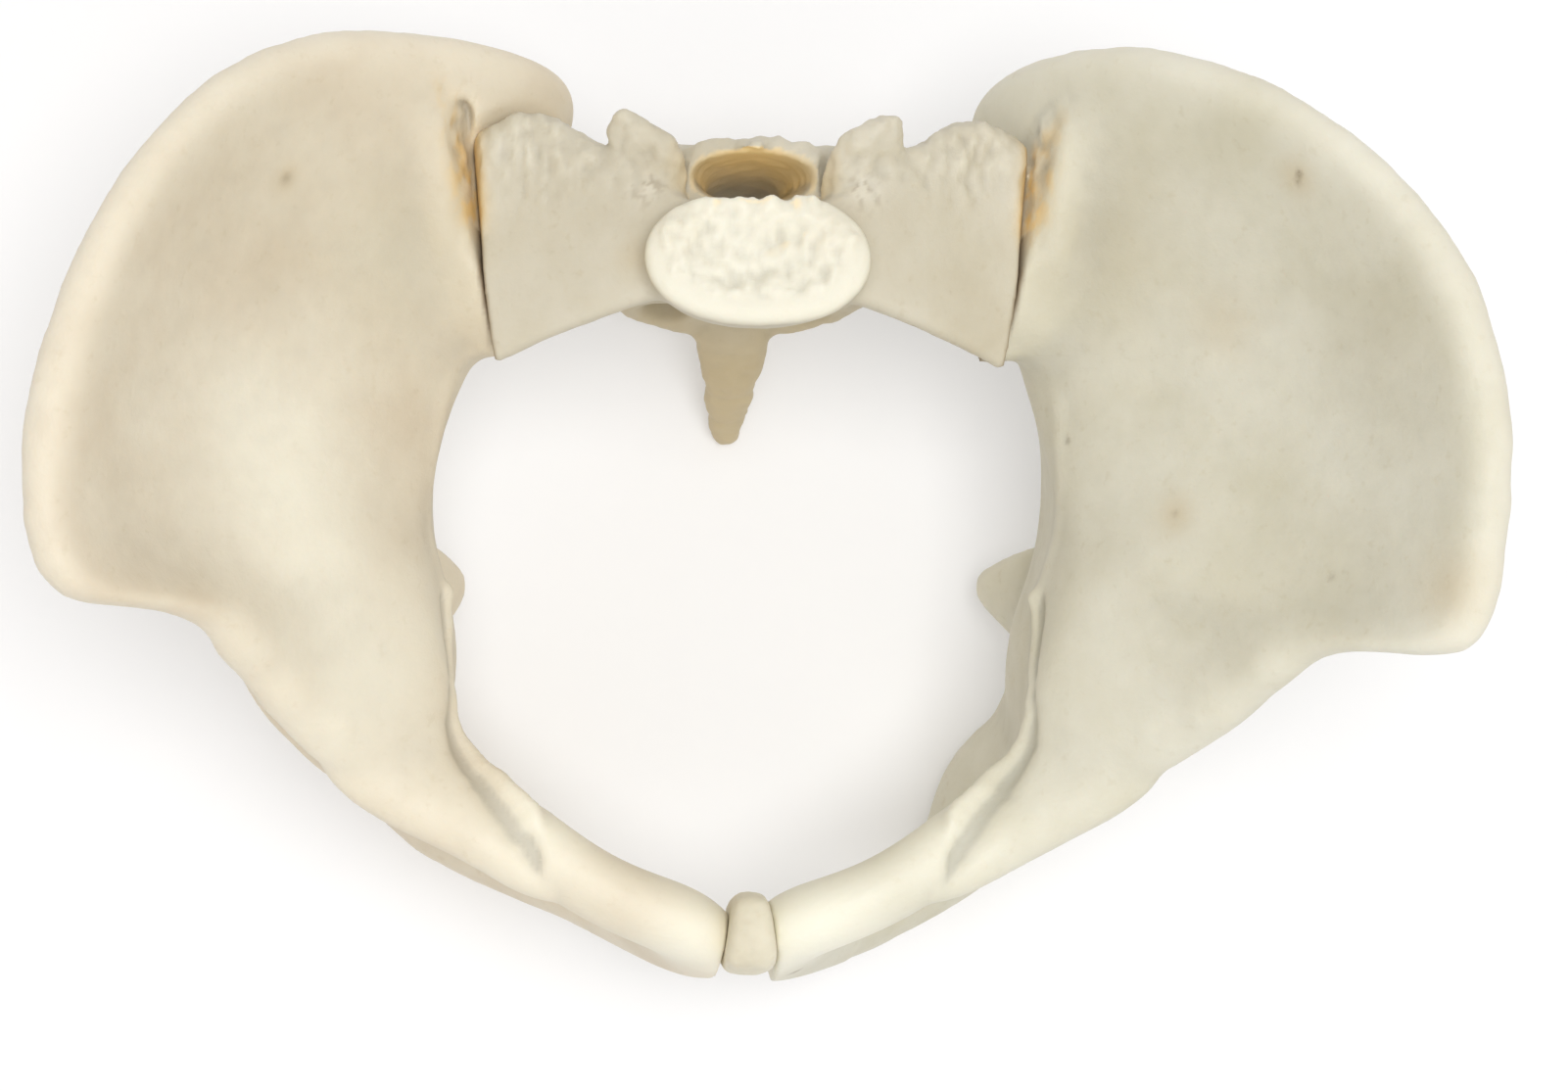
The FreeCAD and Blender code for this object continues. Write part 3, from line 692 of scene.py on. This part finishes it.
def steel_material():
    """Plain steel of the hidden pins, faintly uneven."""
    material, nodes, links, shader = new_material("dowel_steel")
    sheen = noise_ramp(nodes, links, 300, 4, [(0.3, grey(0.28)), (0.7, grey(0.42))])
    links.new(sheen, shader.inputs["Roughness"])
    tones = [(0.3, (0.5, 0.5, 0.51)), (0.7, (0.6, 0.6, 0.61))]
    links.new(noise_ramp(nodes, links, 120, 3, tones), shader.inputs["Base Color"])
    shader.inputs["Metallic"].default_value = 1.0
    return material


def table_material():
    """A white table: it keeps the shadow, and its lit parts show as plain white."""
    material, nodes, links, shader = new_material("table")
    tones = [(0.2, (0.86, 0.855, 0.86)), (0.8, (0.88, 0.875, 0.88))]
    links.new(noise_ramp(nodes, links, 3, 2, tones), shader.inputs["Base Color"])
    shader.inputs["Roughness"].default_value = 0.8
    path = nodes.new("ShaderNodeLightPath")
    seen = nodes.new("ShaderNodeMath")
    seen.operation = "MAXIMUM"
    links.new(path.outputs["Is Camera Ray"], seen.inputs[0])
    links.new(path.outputs["Is Glossy Ray"], seen.inputs[1])
    shader.inputs["Emission Color"].default_value = (1, 1, 1, 1)
    lift = times(nodes, links, seen.outputs[0], table_lift)
    links.new(lift, shader.inputs["Emission Strength"])
    return material


# Table, light and camera

def table():
    bpy.ops.mesh.primitive_plane_add(size=table_size)
    plane = bpy.context.object
    plane.name = "table"
    plane.data.materials.append(table_material())


def lamp(name, place, width, power):
    light = bpy.data.lights.new(name, "AREA")
    light.shape = "DISK"
    light.size = width
    light.energy = power
    holder = bpy.data.objects.new(name, light)
    bpy.context.scene.collection.objects.link(holder)
    holder.location = place
    towards = Vector(lamp_aim) - Vector(place)
    holder.rotation_euler = towards.to_track_quat("-Z", "Y").to_euler()


def world():
    """A nearly even light from all round, which the camera sees as plain white."""
    studio = bpy.data.worlds.new("studio")
    bpy.context.scene.world = studio
    studio.use_nodes = True
    nodes, links = studio.node_tree.nodes, studio.node_tree.links
    back = nodes["Background"]
    back.inputs["Color"].default_value = (1, 1, 1, 1)
    path = nodes.new("ShaderNodeLightPath")
    strength = nodes.new("ShaderNodeMix")
    strength.inputs["A"].default_value = world_strength
    strength.inputs["B"].default_value = 1.0
    links.new(path.outputs["Is Camera Ray"], strength.inputs["Factor"])
    links.new(strength.outputs["Result"], back.inputs["Strength"])


def camera():
    view = bpy.data.cameras.new("camera")
    view.lens = camera_lens
    view.sensor_width = camera_sensor
    view.sensor_fit = "HORIZONTAL"
    view.clip_end = camera_reach
    holder = bpy.data.objects.new("camera", view)
    bpy.context.scene.collection.objects.link(holder)
    holder.location = [value * MM for value in camera_place]
    holder.rotation_euler = [radians(angle) for angle in camera_turn]
    bpy.context.scene.camera = holder


def main():
    left = bone_material("resin_left", ("E8E4D2", "E1DCC8", "D8D2BA"), 3)
    right = bone_material("resin_right", ("EEE4CE", "E8DCC4", "DFD0B6"))
    centre = bone_material("resin_sacrum", ("DDD6C4", "D7CFBA", "CEC4AC"), 7, canal_colour,
                           canal_glow)
    soft = bone_material("resin_disc", ("EFE8D2", "E8E0C8", "DCD2B8"))
    hip_bone("hip_bone_left", "left_hip_bone", 1, 3, left)
    hip_bone("hip_bone_right", "right_hip_bone", -1, 11, right)
    sacrum(centre)
    disc(soft)
    steel = steel_material()
    for node in ("dowels_left", "dowels_right"):
        pins = frame["nodes"][node].data
        pins.materials.clear()
        pins.materials.append(steel)
    table()
    for name, (place, width, power) in lamps.items():
        lamp(name, place, width, power)
    world()
    camera()
    bpy.context.scene.view_settings.view_transform = "Standard"


main()
